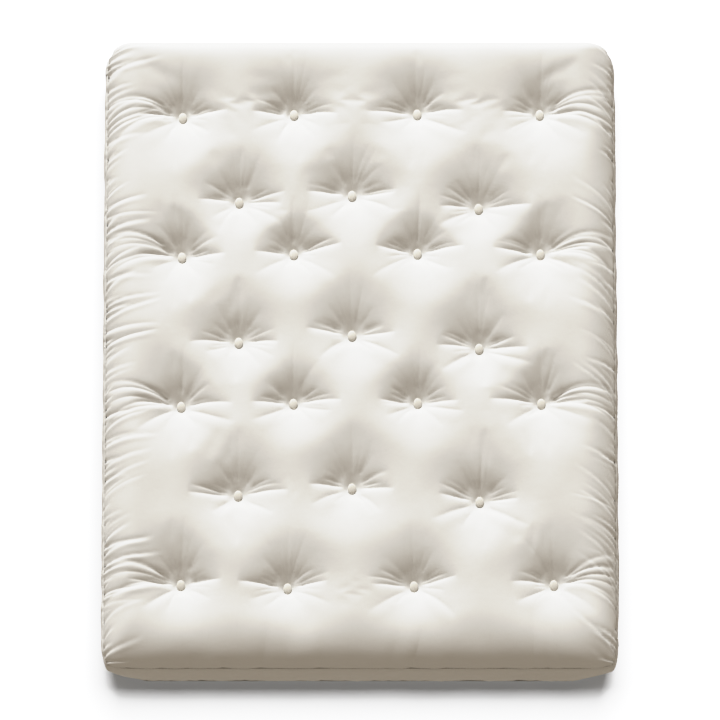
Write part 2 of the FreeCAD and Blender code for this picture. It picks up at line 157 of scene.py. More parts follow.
def grid_faces(ids):
    return np.stack([ids[:-1, :-1], ids[1:, :-1], ids[1:, 1:], ids[:-1, 1:]], -1).reshape(-1, 4)


def rim_of(ids):
    """The border of a grid of vertex numbers, anticlockwise from above."""
    return np.concatenate([ids[:, 0], ids[-1, 1:], ids[-2::-1, -1], ids[0, -2:0:-1]])


# ------------------------------------------------------------------ the shape of the case


def cut_lines(first, last, rows, fine, coarse, reach):
    """Cutting lines across a panel, closer together near the rows of tufts."""
    lines = [first]
    while lines[-1] < last:
        near = min((abs(lines[-1] + coarse / 2 - r) for r in rows), default=9) < reach
        lines.append(lines[-1] + (fine if near else coarse))
    lines = np.array(lines)
    return first + (lines - first) / (lines[-1] - first) * (last - first)


def arc_length(width, height):
    """A quarter of an ellipse."""
    return math.pi / 4 * (3 * (width + height)
                          - np.sqrt((3 * width + height) * (width + 3 * height)))


def panel_edge(half, roll, height):
    """How far from the middle a rolled panel's cut edge lies, measured over the cloth."""
    return half - roll + arc_length(roll, height)


def roll_drop(across, height):
    """How far a roll has dropped, `across` running from 0 where it starts to 1 at the seam."""
    return height * (0.45 * (1 - np.sqrt(np.maximum(1 - across ** 2, 0))) + 0.55 * across ** 2)


def rolled_panel(us, vs, side_roll, head_roll, foot_roll, height):
    """A flat panel rolled down at its edges: (x, y) in plan and the drop below the crown."""
    u, v = np.meshgrid(us, vs, indexing="ij")
    end_roll = np.where(v > 0, head_roll, foot_roll)
    turn_x = (np.abs(u) - (HALF_W - side_roll)) / arc_length(side_roll, height) * QUARTER
    turn_y = (np.abs(v) - (HALF_L - end_roll)) / arc_length(end_roll, height) * QUARTER
    turn_x, turn_y = np.clip(turn_x, 0, QUARTER), np.clip(turn_y, 0, QUARTER)
    x = np.where(turn_x > 0, HALF_W - side_roll + side_roll * np.sin(turn_x), np.abs(u))
    y = np.where(turn_y > 0, HALF_L - end_roll + end_roll * np.sin(turn_y), np.abs(v))
    turn = np.minimum((turn_x ** 4 + turn_y ** 4) ** 0.25, QUARTER)
    drop = roll_drop(np.sin(turn), height)
    # The corners are round at the head and nearly square, like ears, at the foot.
    across = np.clip((x - (HALF_W - CORNER)) / CORNER, 0, 1)
    along = np.clip((y - (HALF_L - CORNER)) / CORNER, 0, 1)
    both = (across > 0) & (along > 0)
    rounding = np.where(v > 0, 0.95, 0.5)
    round_x = across * np.sqrt(1 - along ** 2 / 2)
    round_y = along * np.sqrt(1 - across ** 2 / 2)
    x = np.where(both, HALF_W - CORNER + CORNER * (across + rounding * (round_x - across)), x)
    y = np.where(both, HALF_L - CORNER + CORNER * (along + rounding * (round_y - along)), y)
    return u, v, np.sign(u) * x, np.sign(v) * y, drop


def tuft_pull(x, y, depth, reach, power=1.18):
    """How far the tufts pull the cloth in, one smooth funnel at each."""
    pull = np.zeros_like(x)
    for (tx, ty), spread in zip(TUFTS, SPREAD):
        r = np.hypot(x - tx, y - ty)
        near = depth * np.exp(-(np.maximum(r - 0.011, 0) / (reach * spread)) ** power)
        pull = (pull ** 3 + near ** 3) ** (1 / 3)
    return pull


def tuck(t, upper, lower, ridge):
    """Across a tuck: a slow slope down to the crease, then a quick rise to a ridge."""
    fall = -np.where(t > 0, np.exp(-np.abs(t) / upper), np.exp(-np.abs(t) / lower))
    return fall + ridge * np.exp(-((t + 3.2 * lower) / (2.2 * lower)) ** 2)


def tuck_plan(dice, x):
    """The tucks round one tuft: angle, start, length, depth, two widths, ridge, bend, side.

    `x` is the tuft's place across the mattress.
    """
    plan = []

    def add(angle, length, deep, upper, lower, ridge, bend=0.0, up=1, start=0.012):
        plan.append((angle, start, dice.uniform(*length), dice.uniform(*deep) / 1000, upper,
                     lower, ridge, bend, up))

    for side, up in ((0, 1), (180, -1)):
        first = dice.uniform(-2, 9)
        add(side + up * first, (.115, .165), (11, 15), .019, .009, .05,
            -up * dice.uniform(0, 12), up)
        add(side + up * (first + dice.uniform(11, 18)), (.08, .145), (3, 8), .012, .007, .1,
            -up * dice.uniform(2, 14), up, dice.uniform(.012, .03))
        add(side + up * (first + dice.uniform(24, 36)), (.08, .13), (1.5, 6), .012, .008, .12,
            -up * dice.uniform(0, 14), up, dice.uniform(.012, .04))
        add(side + up * dice.uniform(44, 58), (.09, .13), (1, 3.5), .012, .009, .2,
            up * dice.uniform(-8, 8), up, dice.uniform(.02, .045))
        if dice.random() < 0.6:
            add(side - up * dice.uniform(7, 15), (.06, .11), (1.5, 4), .008, .006, .15,
                -up * dice.uniform(0, 8), up)
        add(side - up * dice.uniform(22, 40), (.10, .18), (3, 7), .012, .009, .35,
            up * dice.uniform(-8, 8), up, dice.uniform(.015, .03))
        add(side - up * dice.uniform(46, 62), (.07, .13), (1.5, 5), .010, .008, .35,
            up * dice.uniform(-8, 8), up, dice.uniform(.02, .035))
    if abs(x) > HALF_W - 0.27:
        # The outer tufts also pull long folds in from the side seam.
        side, up = (0, 1) if x > 0 else (180, -1)
        for angle in (33, 24, 15, 6, -4):
            add(side + up * (angle + dice.uniform(-3, 3)), (.22, .29), (3, 6.5),
                dice.uniform(.007, .011), .006, .3, -up * dice.uniform(12, 26), up,
                dice.uniform(.02, .06))
    for angle in (66, 78, 90, 102, 114):
        add(angle + dice.uniform(-6, 6), (.09, .20), (0.5, 2.0), .009, .009, .4,
            dice.uniform(-8, 8), 1 if dice.random() < 0.5 else -1, dice.uniform(.02, .05))
    add(90 + dice.uniform(-3, 3), (.15, .21), (1.5, 2.8), .008, .008, .2, 0, 1, .02)
    return plan


def tucks(x, y, seed, strength=1.0):
    """Height of the creases that the cloth gathers into round every tuft."""
    dice = np.random.default_rng(seed)
    height = np.zeros_like(x)
    for tx, ty in TUFTS:
        near = np.hypot(x - tx, y - ty) < 0.30
        dx, dy = x[near] - tx, y[near] - ty
        r = np.hypot(dx, dy)
        rise = np.zeros_like(r)
        for angle, start, length, depth, upper, lower, ridge, bend, up in tuck_plan(dice, tx):
            heading = np.radians(angle + bend * (r / length) ** 1.5)
            along = dx * np.cos(heading) + dy * np.sin(heading)
            across = (dy * np.cos(heading) - dx * np.sin(heading)) * up
            widen = 0.5 + 0.6 * r / length
            fade = smooth_step((r - start + 0.004) / 0.018)
            fade *= np.clip(1 - (r / length) ** 3.2, 0, 1)
            rise += (along > 0) * depth * fade * tuck(across / widen, upper, lower, ridge)
        # The cloth sinks in a ring where it turns in under the button.
        rim = np.hypot(dx, dy / 1.26)
        rise -= 0.0035 * np.exp(-((rim - 0.0125) / 0.005) ** 2)
        height[near] += rise * strength
    return height


def unevenness(x, y, seed, wave, size, count=24):
    """Gentle lumps in the filling, seen through the cloth."""
    dice = np.random.default_rng(seed)
    height = np.zeros_like(x)
    for _ in range(count):
        k = 2 * math.pi / (wave * dice.uniform(0.7, 1.9))
        heading = dice.uniform(0, 2 * math.pi)
        height += np.sin(k * (x * math.cos(heading) + y * math.sin(heading))
                         + dice.uniform(0, 6.28))
    return height * size / math.sqrt(count / 2)


def gathers(along, inward, seed, spacing, depth, reach, lean=(-0.4, 0.4)):
    """Puckers square to a seam; they start at it and fade inward."""
    dice = np.random.default_rng(seed)
    height = np.zeros_like(along)
    at, end = along.min() - spacing, along.max() + spacing
    while at < end:
        at += spacing * dice.uniform(0.5, 1.5)
        length, deep = reach * dice.uniform(0.25, 1.5), depth * dice.uniform(0.3, 1.3)
        slant, width = dice.uniform(*lean), spacing * dice.uniform(0.18, 0.34)
        near = (np.abs(along - at) < 0.07 + abs(slant) * length) & (inward < length)
        across = along[near] - at - slant * inward[near]
        fade = (1 - (inward[near] / length) ** 1.6) * smooth_step(inward[near] / 0.006 + 0.3)
        height[near] += deep * fade * tuck(across, width * 1.3, width * 0.6, 0.4)
    return height


# ------------------------------------------------------------------ the case, sewn and filled

ROLL_DROP = TOP - TOP_SEAM
CUT_W = panel_edge(HALF_W, SIDE_ROLL, ROLL_DROP)
CUT_HEAD = panel_edge(HALF_L, HEAD_ROLL, ROLL_DROP)
CUT_FOOT = panel_edge(HALF_L, FOOT_ROLL, ROLL_DROP)
SEAM_TUCK = 0.005
LOW_INSET = 0.006
EAR = 0.13
CROWN_ROOM = 0.005  # left below the crown for the filling to press the cloth into
CLOTH_STEPS = 12
CLOTH_CAP = 0.0055


def drawn_in(xy, share):
    """The boxing leans in toward the bottom, most at the foot's corners."""
    size = np.abs(xy)
    over = np.clip((size - (HALF_W - EAR, HALF_L - EAR)) / EAR, 0, 1)
    size -= LOW_INSET * share * smooth_step(over)
    ear = over[:, 0] * over[:, 1] * np.where(xy[:, 1] < 0, 1.0, 0.35) * share
    size -= EAR * 0.27 * ear[:, None] * over
    return np.sign(xy) * size


def outward_of(ring):
    """Outward normals in plan of a ring of points."""
    run = np.roll(ring[:, :2], -1, 0) - np.roll(ring[:, :2], 1, 0)
    out = np.stack([run[:, 1], -run[:, 0]], -1)
    return out / np.linalg.norm(out, axis=1)[:, None]


def ring_length(ring):
    steps = np.linalg.norm(np.roll(ring, -1, 0) - ring, axis=1)
    return np.concatenate([[0], np.cumsum(steps)])[:-1]


def sew_case():
    """Top panel and boxing as one coarse cloth: points, flat lay, faces and seam rings."""
    us = cut_lines(-CUT_W, CUT_W, COLUMNS, 0.0055, 0.010, 0.035)
    vs = cut_lines(-CUT_FOOT, CUT_HEAD, ROWS, 0.005, 0.010, 0.050)
    u, v, x, y, drop = rolled_panel(us, vs, SIDE_ROLL, HEAD_ROLL, FOOT_ROLL, ROLL_DROP)
    ids = np.arange(u.size).reshape(u.shape)
    z = TOP - CROWN_ROOM - drop - tuft_pull(x, y, PULL_TOP - CROWN_ROOM, TOP_REACH)
    top = np.stack([x, y, z], -1).reshape(-1, 3)
    rim = rim_of(ids)
    out = outward_of(top[rim])
    outline = top[rim, :2].copy()
    top[rim, :2] -= out * SEAM_TUCK
    flat = np.stack([u, v], -1).reshape(-1, 2)
    around = ring_length(top[rim])

    points, lay, faces, rings, count = [top], [flat], [grid_faces(ids)], [rim], len(top)
    levels = 12
    tall = TOP_SEAM - LOW_SEAM
    for k in range(1, levels + 1):
        f = k / levels
        bulge = 0.006 * math.sin(math.pi * f) ** 0.7 - SEAM_TUCK / 2 * (k == levels)
        level = np.full(len(rim), TOP_SEAM - f * tall)
        points.append(np.column_stack([drawn_in(outline, f * f) + out * bulge, level]))
        lay.append(np.column_stack([around, np.full(len(rim), -f * tall)]))
        rings.append(np.arange(count, count + len(rim)))
        count += len(rim)
    for upper, lower in zip(rings[:-1], rings[1:]):
        faces.append(np.stack([upper, lower, np.roll(lower, -1), np.roll(upper, -1)], -1))
    return {"points": np.concatenate(points), "lay": lay, "faces": faces, "rings": rings,
            "ids": ids, "around": around}


def fill_case(case):
    """Let the filling press the sewn cloth out between its tufts, with Blender's Cloth."""
    start = case["points"]
    sheet = mesh_piece("case_cloth", start, np.concatenate(case["faces"]))
    hold = sheet.vertex_groups.new(name="held")
    grip = np.full(len(start), 0.02)
    top = start[:case["ids"].size]
    for tx, ty in TUFTS:
        grip[:len(top)][np.hypot(top[:, 0] - tx, top[:, 1] - ty) < 0.0125] = 1.0
    grip[case["rings"][0]] = 0.6
    grip[case["rings"][-1]] = 1.0
    for value in np.unique(grip):
        hold.add(np.nonzero(grip == value)[0].tolist(), float(value), "REPLACE")
    modifier = sheet.modifiers.new("Cloth", "CLOTH")
    cloth = modifier.settings
    cloth.vertex_group_mass = "held"
    cloth.quality = 4
    cloth.mass = 0.3
    cloth.tension_stiffness = cloth.compression_stiffness = 40
    cloth.shear_stiffness = 15
    cloth.bending_stiffness = 8
    cloth.tension_damping = cloth.compression_damping = cloth.shear_damping = 5
    cloth.air_damping = 3
    cloth.use_pressure = True
    cloth.uniform_pressure_force = 2.5
    cloth.effector_weights.gravity = 0
    modifier.collision_settings.use_collision = False
    modifier.point_cache.frame_start, modifier.point_cache.frame_end = 1, 20
    scene = bpy.context.scene
    scene.frame_start, scene.frame_end = 1, 20
    for step in range(1, CLOTH_STEPS + 1):
        scene.frame_set(step)
    filled = sheet.evaluated_get(bpy.context.evaluated_depsgraph_get())
    co = np.empty(len(start) * 3, np.float32)
    filled.data.vertices.foreach_get("co", co)
    scene.frame_set(1)
    moved = co.reshape(-1, 3) - start
    far = np.linalg.norm(moved, axis=1)
    moved *= (CLOTH_CAP * np.tanh(far / CLOTH_CAP) / np.maximum(far, 1e-9))[:, None]
    bpy.data.objects.remove(sheet, do_unlink=True)
    return start + moved


case = sew_case()
case["points"] = fill_case(case)


def cut_piece(name, faces, points, lay):
    """One panel cut out of the filled case, keeping only its own vertices."""
    used, index = np.unique(faces, return_inverse=True)
    return mesh_piece(name, points[used], index.reshape(faces.shape), lay[used])


top_panel = cut_piece("top_panel", case["faces"][0], case["points"], case["lay"][0])
apply_modifier(top_panel, "SUBSURF", levels=1, render_levels=1, uv_smooth="NONE",
               boundary_smooth="PRESERVE_CORNERS")


def finish_top():
    """Creases at the tufts, puckers at the seams and the filling's unevenness."""
    co, lay, out = points_of(top_panel), uv_of(top_panel), normals_of(top_panel)
    x, y = co[:, 0], co[:, 1]
    free = smooth_step((co[:, 2] - TOP_SEAM) / 0.02)
    co[:, 2] += tucks(x, y, 5) * free
    co[:, 2] += unevenness(x, y, 2, 0.16, 0.0007) * free
    from_side = CUT_W - np.abs(lay[:, 0])
    from_end = np.where(lay[:, 1] > 0, CUT_HEAD, CUT_FOOT) - np.abs(lay[:, 1])
    lift = np.zeros(len(co))
    left, right = lay[:, 0] < -CUT_W / 2, lay[:, 0] > CUT_W / 2
    head, foot = lay[:, 1] > CUT_HEAD / 2, lay[:, 1] < -CUT_FOOT / 2
    lift[left] += gathers(lay[left, 1], from_side[left], 11, 0.022, 0.006, 0.14, (0, 0.5))
    lift[right] += gathers(lay[right, 1], from_side[right], 12, 0.022, 0.0048, 0.12, (0.1, 0.9))
    lift[head] += gathers(lay[head, 0], from_end[head], 13, 0.045, 0.0012, 0.05)
    lift[foot] += gathers(lay[foot, 0], from_end[foot], 14, 0.075, 0.0022, 0.17, (-0.3, 0.3))
    co += out * lift[:, None]
    co[:, 2] = np.minimum(co[:, 2], TOP)
    set_points(top_panel, co)


finish_top()

ring_count = len(case["rings"][0])
box_lay = np.concatenate([np.column_stack([case["around"], np.zeros(ring_count)])]
                         + case["lay"][1:])
box_points = np.concatenate([case["points"][r] for r in case["rings"]])


def boxing_strip(name, wanted, seed):
    """One strip of the boxing: the columns of the ring that `wanted` picks, subdivided."""
    rows = len(case["rings"])
    columns = np.nonzero(wanted)[0]
    # Start after the gap, so that the strip runs on without a jump.
    jump = np.nonzero(np.diff(columns) > 1)[0]
    if len(jump):
        columns = np.concatenate([columns[jump[0] + 1:], columns[:jump[0] + 1]])
    points = box_points.reshape(rows, ring_count, 3)[:, columns]
    run = np.concatenate([[0], np.cumsum(np.linalg.norm(np.diff(points[0], axis=0), axis=1))])
    fall = np.linspace(0, -(TOP_SEAM - LOW_SEAM), rows)
    lay = np.stack(np.broadcast_arrays(run[None, :], fall[:, None]), -1)
    ids = np.arange(rows * len(columns)).reshape(rows, len(columns))
    strip = mesh_piece(name, points.reshape(-1, 3), grid_faces(ids), lay.reshape(-1, 2))
    apply_modifier(strip, "SUBSURF", levels=1, render_levels=1, uv_smooth="NONE",
                   boundary_smooth="PRESERVE_CORNERS")
    co, lay, out = points_of(strip), uv_of(strip), normals_of(strip)
    down, up = -lay[:, 1], lay[:, 1] + TOP_SEAM - LOW_SEAM
    lift = gathers(lay[:, 0], down, seed, 0.028, 0.0028, 0.030)
    lift += gathers(lay[:, 0], up, seed + 1, 0.030, 0.0022, 0.026)
    lift += unevenness(lay[:, 0], lay[:, 1] * 0.4, seed + 2, 0.10, 0.0008)
    edge = smooth_step(np.minimum(down, up) / 0.006)
    co += out * (lift * edge)[:, None]
    set_points(strip, co)
    return strip


ring_plan = case["points"][case["rings"][0]]
join = HALF_L - CORNER
by_side = np.abs(ring_plan[:, 1]) < join
beside = by_side | np.roll(by_side, 1) | np.roll(by_side, -1)
ring_x, ring_y = ring_plan[:, 0], ring_plan[:, 1]
boxing_left = boxing_strip("boxing_left", by_side & (ring_x < 0), 21)
boxing_right = boxing_strip("boxing_right", by_side & (ring_x > 0), 24)
# The end strips take one more column at each side, so that no gap is left at the join.
not_side = ~by_side | (beside & (np.abs(ring_y) > join - 0.02))
boxing_head = boxing_strip("boxing_head", not_side & (ring_y > 0), 27)
boxing_foot = boxing_strip("boxing_foot", not_side & (ring_y < 0), 30)


def sew_underside():
    """The bottom panel, flat on what it rests on, pulled up at its tufts."""
    wide, long = (panel_edge(half, LOW_ROLL, LOW_SEAM) for half in (HALF_W, HALF_L))
    us = cut_lines(-wide, wide, [], 0.012, 0.012, 0)
    vs = cut_lines(-long, long, ROWS, 0.008, 0.014, 0.040)
    u, v, x, y, drop = rolled_panel(us, vs, LOW_ROLL, LOW_ROLL, LOW_ROLL, LOW_SEAM)
    pull = tuft_pull(x, y, PULL_LOW, LOW_REACH, 1.2)
    z = drop + np.where(pull > 0.0012, pull - 0.0012, 0) * PULL_LOW / (PULL_LOW - 0.0012)
    z -= tucks(x, y, 41, 0.45) * smooth_step((pull - 0.004) / 0.01)
    ids = np.arange(u.size).reshape(u.shape)
    points = np.stack([x, y, np.maximum(z, 0)], -1).reshape(-1, 3)
    rim = rim_of(ids)
    out = outward_of(points[rim])
    points[:, :2] = drawn_in(points[:, :2], 1.0)
    points[rim, :2] -= out * SEAM_TUCK / 2
    panel = mesh_piece("bottom_panel", points, grid_faces(ids)[:, ::-1],
                       np.stack([u, v], -1).reshape(-1, 2))
    lay, out = uv_of(panel), normals_of(panel)
    from_side, from_end = wide - np.abs(lay[:, 0]), long - np.abs(lay[:, 1])
    lift = np.zeros(len(points))
    for side, seed in ((lay[:, 0] < 0, 44), (lay[:, 0] > 0, 45)):
        lift[side] += gathers(lay[side, 1], from_side[side], seed, 0.030, 0.0022, 0.03)
    for end, seed in ((lay[:, 1] < 0, 46), (lay[:, 1] > 0, 47)):
        lift[end] += gathers(lay[end, 0], from_end[end], seed, 0.035, 0.0018, 0.03)
    edge = smooth_step(points[:, 2] / 0.006) * smooth_step((LOW_SEAM - points[:, 2]) / 0.004)
    points += out * (lift * edge)[:, None]
    points[:, 2] = np.maximum(points[:, 2], 0)
    set_points(panel, points)
    return panel


bottom_panel = sew_underside()

# ------------------------------------------------------------------ stitches


def one_stitch():
    """A single stitch lying along X, thick in the middle, sinking at both ends."""
    deselect()
    bpy.ops.mesh.primitive_cylinder_add(vertices=6, radius=0.0007, depth=0.0062,
                                        rotation=(0, QUARTER, 0), end_fill_type="NGON")
    stitch = bpy.context.object
    bpy.ops.object.transform_apply(location=False, rotation=True, scale=True)
    bpy.ops.object.mode_set(mode="EDIT")
    bpy.ops.mesh.select_all(action="SELECT")
    bpy.ops.mesh.subdivide(number_cuts=1)
    bpy.ops.object.mode_set(mode="OBJECT")
    co = points_of(stitch)
    thin = 1 - 0.45 * (np.abs(co[:, 0]) / 0.0031) ** 2
    co[:, 1] *= thin
    co[:, 2] = co[:, 2] * thin - 0.0006 * (co[:, 0] / 0.0031) ** 2
    set_points(stitch, co)
    faces = [list(p.vertices) for p in stitch.data.polygons]
    bpy.data.objects.remove(stitch, do_unlink=True)
    return co, faces


STITCH = one_stitch()


def stitch_line(name, ring, pitch=0.0095, proud=0.0016):
    """Single stitches all round a seam, each along the ring and facing outward."""
    steps = np.linalg.norm(np.roll(ring, -1, 0) - ring, axis=1)
    run = np.concatenate([[0], np.cumsum(steps)])
    count = int(run[-1] / pitch)
    at = (np.arange(count) + 0.5) * run[-1] / count
    closed = np.vstack([ring, ring[:1]])
    spot = np.stack([np.interp(at, run, closed[:, k]) for k in range(3)], -1)
    ahead = np.stack([np.interp((at + 0.004) % run[-1], run, closed[:, k])
                      for k in range(3)], -1)
    along = ahead - spot
    along /= np.linalg.norm(along, axis=1)[:, None]
    out = np.stack([along[:, 1], -along[:, 0], np.zeros(count)], -1)
    out /= np.linalg.norm(out, axis=1)[:, None]
    side = np.cross(out, along)
    dice = np.random.default_rng(61)
    co, faces = STITCH
    points, all_faces = [], []
    for k in range(count):
        size = dice.uniform(0.9, 1.05)
        points.append(spot[k] + out[k] * proud + along[k] * co[:, :1] * size
                      + side[k] * co[:, 1:2] + out[k] * co[:, 2:3])
        all_faces += [[i + k * len(co) for i in face] for face in faces]
    mesh = bpy.data.meshes.new(name)
    mesh.from_pydata(np.concatenate(points).tolist(), [], all_faces)
    mesh.polygons.foreach_set("use_smooth", [True] * len(mesh.polygons))
    mesh.update()
    piece = bpy.data.objects.new(name, mesh)
    bpy.context.scene.collection.objects.link(piece)
    return piece


top_stitches = stitch_line("top_seam_stitches", case["points"][case["rings"][0]])
low_stitches = stitch_line("bottom_seam_stitches", case["points"][case["rings"][-1]])

# ------------------------------------------------------------------ buttons


def covered_button():
    """One cloth-covered button at the origin: dome, tucked rim, back plate and eyelet."""
    deselect()
    bpy.ops.mesh.primitive_uv_sphere_add(segments=32, ring_count=20, radius=BUTTON_R)
    cap = bpy.context.object
    bpy.ops.object.mode_set(mode="EDIT")
    bpy.ops.mesh.select_all(action="SELECT")
    bpy.ops.mesh.bisect(plane_co=(0, 0, -0.18 * BUTTON_R), plane_no=(0, 0, 1),
                        use_fill=False, clear_inner=True)
    bpy.ops.mesh.select_all(action="SELECT")
    bpy.ops.transform.resize(value=(1, 1, 0.46))
    bpy.ops.mesh.select_all(action="DESELECT")
    bpy.ops.mesh.select_non_manifold()
    bpy.ops.mesh.extrude_region_move(TRANSFORM_OT_translate={"value": (0, 0, -0.0006)})
    bpy.ops.transform.resize(value=(0.90, 0.90, 1))
    bpy.ops.mesh.extrude_region_move(TRANSFORM_OT_translate={"value": (0, 0, 0.0002)})
    bpy.ops.transform.resize(value=(0.72, 0.72, 1))
    bpy.ops.mesh.edge_face_add()
    bpy.ops.mesh.inset(thickness=0.0012)
    bpy.ops.transform.translate(value=(0, 0, -0.0004))
    bpy.ops.object.mode_set(mode="OBJECT")
    co = points_of(cap)
    # The cloth is drawn in under the rim in small folds.
    angle, r = np.arctan2(co[:, 1], co[:, 0]), np.hypot(co[:, 0], co[:, 1])
    low = smooth_step((0.0016 - co[:, 2]) / 0.003) * (r > 0.5 * BUTTON_R)
    fold = 1 + 0.022 * low * np.cos(angle * 12)
    co[:, 0] *= fold
    co[:, 1] *= fold
    co[:, 2] -= co[:, 2].min()
    set_points(cap, co)
    bpy.ops.mesh.primitive_torus_add(location=(0, 0, -0.0026), rotation=(QUARTER, 0, 0),
                                     major_segments=20, minor_segments=8,
                                     major_radius=0.0032, minor_radius=0.0007)
    eyelet = bpy.context.object
    deselect()
    eyelet.select_set(True)
    cap.select_set(True)
    bpy.context.view_layer.objects.active = cap
    bpy.ops.object.join()
    cap.data.polygons.foreach_set("use_smooth", [True] * len(cap.data.polygons))
    deselect()
    return cap


def button_mesh(pattern, name, place, turned, dice):
    """A copy of the button with its own mesh, set a little askew at its tuft."""
    mesh = pattern.data.copy()
    mesh.name = name
    tilt = Matrix.Rotation(dice.uniform(-0.05, 0.05), 4, "X")
    tilt = tilt @ Matrix.Rotation(dice.uniform(-0.05, 0.05), 4, "Y")
    turn = Matrix.Rotation(dice.uniform(0, 6.28), 4, "Z")
    flip = Matrix.Rotation(math.pi, 4, "X") if turned else Matrix.Identity(4)
    stretch = Matrix.Diagonal((0.98, 1.32, 1.0, 1.0))
    mesh.transform(Matrix.Translation(place) @ flip @ tilt @ stretch @ turn)
    piece = bpy.data.objects.new(name, mesh)
    bpy.context.scene.collection.objects.link(piece)
    return piece


def sew_buttons():
    pattern = covered_button()
    dice = np.random.default_rng(71)
    tops, unders = [], {"seat": [], "back": []}
    lift = 0.0027
    for node, (x, y) in zip(BUTTON_NODES, TUFTS):
        side, tag = node.split("_button_")
        piece = button_mesh(pattern, f"covered_button_{tag}", (x, y, SEAT_TOP + lift), False,
                            dice)
        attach(piece, f"{side}_half")
        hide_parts(node)
        tops.append(piece)
        unders[side].append(button_mesh(pattern, f"under_{tag}", (x, y, SEAT_LOW - lift),
                                        True, dice))
    for side, batch in unders.items():
        deselect()
        for piece in batch:
            piece.select_set(True)
        bpy.context.view_layer.objects.active = batch[0]
        bpy.ops.object.join()
        batch[0].name = f"{side}_covered_under_buttons"
        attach(batch[0], f"{side}_half")
        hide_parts(f"{side}_under_buttons")
        tops.append(batch[0])
    deselect()
    bpy.data.objects.remove(pattern, do_unlink=True)
    return tops


buttons = sew_buttons()

# ------------------------------------------------------------------ filling layers

LAYER_INSET = 0.018
THINNING = 0.15  # share of its depth that a layer keeps where the cover presses it thin
LAYERS = ("cotton_batt_1", "cotton_batt_2", "cotton_batt_3", "foam_core",
          "cotton_batt_4", "cotton_batt_5", "cotton_batt_6")


def filling_layer(name, number):
    """One layer of the filling: two dimpled faces that nest with its neighbours."""
    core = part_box("seat_foam_core")
    centre = TOP / 2
    batt = (core[0].z - CLOTH - 0.0005) / 3
    levels = [0.002 + k * batt for k in range(3)] + [core[0].z, core[1].z]
    levels += [core[1].z + k * batt for k in (1, 2)] + [TOP - 0.002]
    # The upper faces lie lower by this much, so that none comes through the cover.
    lowered = [0, 0, 0, 0, 0, 0.004, 0.010, 0.016]
    low, high = levels[number] + 0.0003, levels[number + 1] - 0.0003
    us = np.linspace(-1, 1, 71)
    vs = np.linspace(-1, 1, 95)
    u, v = np.meshgrid(us, vs, indexing="ij")
    x, y = u * (HALF_W - LAYER_INSET), v * (HALF_L - LAYER_INSET)
    # The corners are drawn in a little.
    corner = 0.29 * smooth_step((np.abs(u) - 0.9) / 0.1) * smooth_step((np.abs(v) - 0.92) / 0.08)
    x, y = x * (1 - corner * 0.09), y * (1 - corner * 0.07)
    end_roll = np.where(y > 0, HEAD_ROLL, FOOT_ROLL)
    side = np.clip((np.abs(x) - HALF_W + SIDE_ROLL) / SIDE_ROLL, 0, 1)
    end = np.clip((np.abs(y) - HALF_L + end_roll) / end_roll, 0, 1)
    edge = np.minimum((side ** 4 + end ** 4) ** 0.25, 1)
    cover = TOP - LAYER_INSET - roll_drop(edge, ROLL_DROP)
    floor = LOW_SEAM * smooth_step(edge * 3 - 2) + 0.0035
    pull_top = tuft_pull(x, y, PULL_TOP, TOP_REACH + 0.008)
    pull_low = tuft_pull(x, y, PULL_LOW, LOW_REACH, 1.2)

    def face(level, loose):
        share = (level - centre) / centre
        z = level - pull_top * share if share > 0 else level - pull_low * share
        z -= loose * (1 + pull_top / PULL_TOP)
        return np.clip(z, floor + THINNING * level, cover - THINNING * (TOP - level))

    bottom = face(low, lowered[number])
    top = np.maximum(face(high, lowered[number + 1]), bottom + 0.002)
    ids = np.arange(u.size).reshape(u.shape)
    points = np.concatenate([np.stack([x, y, top], -1).reshape(-1, 3),
                             np.stack([x, y, bottom], -1).reshape(-1, 3)])
    rim = rim_of(ids)
    walls = np.stack([rim, rim + u.size, np.roll(rim, -1) + u.size, np.roll(rim, -1)], -1)
    faces = np.concatenate([grid_faces(ids), grid_faces(ids)[:, ::-1] + u.size, walls])
    layer = mesh_piece(name, points, faces)
    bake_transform(layer)
    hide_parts(f"seat_{name}", f"back_{name}")
    return layer


layers = [filling_layer(name, k) for k, name in enumerate(LAYERS)]

# ------------------------------------------------------------------ shader effects


def new_group(name, inputs, outputs):
    """An empty node group with named sockets: {name: (kind, default)}."""
    group = bpy.data.node_groups.new(name, "ShaderNodeTree")
    for label, (kind, default) in inputs.items():
        socket = group.interface.new_socket(label, in_out="INPUT", socket_type=kind)
        if default is not None:
            socket.default_value = default
    for label, kind in outputs.items():
        group.interface.new_socket(label, in_out="OUTPUT", socket_type=kind)
    return group, group.nodes.new("NodeGroupInput"), group.nodes.new("NodeGroupOutput")


def maths(tree, operation, *values):
    node = tree.nodes.new("ShaderNodeMath")
    node.operation = operation
    for socket, value in zip(node.inputs, values):
        if isinstance(value, (int, float)):
            socket.default_value = value
        else:
            tree.links.new(value, socket)
    return node.outputs[0]


def noise(tree, vector, scale, detail=2.0, roughness=0.5):
    node = tree.nodes.new("ShaderNodeTexNoise")
    node.inputs["Detail"].default_value = detail
    node.inputs["Roughness"].default_value = roughness
    tree.links.new(vector, node.inputs["Vector"])
    if isinstance(scale, (int, float)):
        node.inputs["Scale"].default_value = scale
    else:
        tree.links.new(scale, node.inputs["Scale"])
    return node.outputs["Fac"]


FLOAT, VECTOR, COLOUR = "NodeSocketFloat", "NodeSocketVector", "NodeSocketColor"


